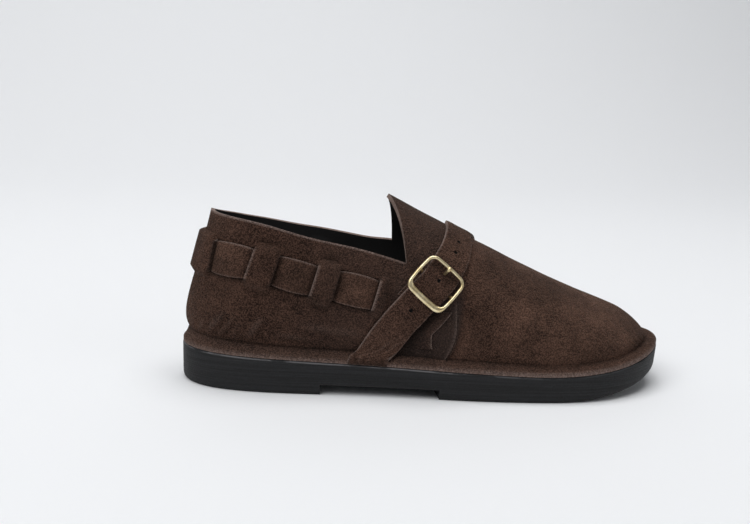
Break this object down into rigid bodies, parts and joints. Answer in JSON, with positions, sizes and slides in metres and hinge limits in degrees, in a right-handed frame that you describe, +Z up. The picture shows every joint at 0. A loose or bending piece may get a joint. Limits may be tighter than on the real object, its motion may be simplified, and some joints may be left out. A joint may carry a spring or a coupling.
{
  "type": "flat shoe",
  "caption": "Low brown leather shoe with a buckled strap over the instep, a strap woven through slits round the heel, and a turned-out flange on a black rubber unit sole.",
  "frame": {"origin": "on the floor under the middle of the sole's length and width", "axes": "+X from heel to toe, +Y towards the inner side of the foot, +Z up"},
  "size_m": [0.266, 0.0928, 0.102],
  "materials": {
    "black_rubber": "matt, finely lined",
    "dark_leather": "smooth, dark",
    "brown_leather": "napped dark brown",
    "antique_brass": "satin, pale"
  },
  "bodies": {
    "root": {"outsole": "black_rubber", "insole": "dark_leather", "upper": "brown_leather", "heel_strap": "brown_leather", "instep_strap": "brown_leather", "buckle_tab": "brown_leather", "buckle_frame": "antique_brass", "buckle_prong": "antique_brass"}
  },
  "joints": []
}
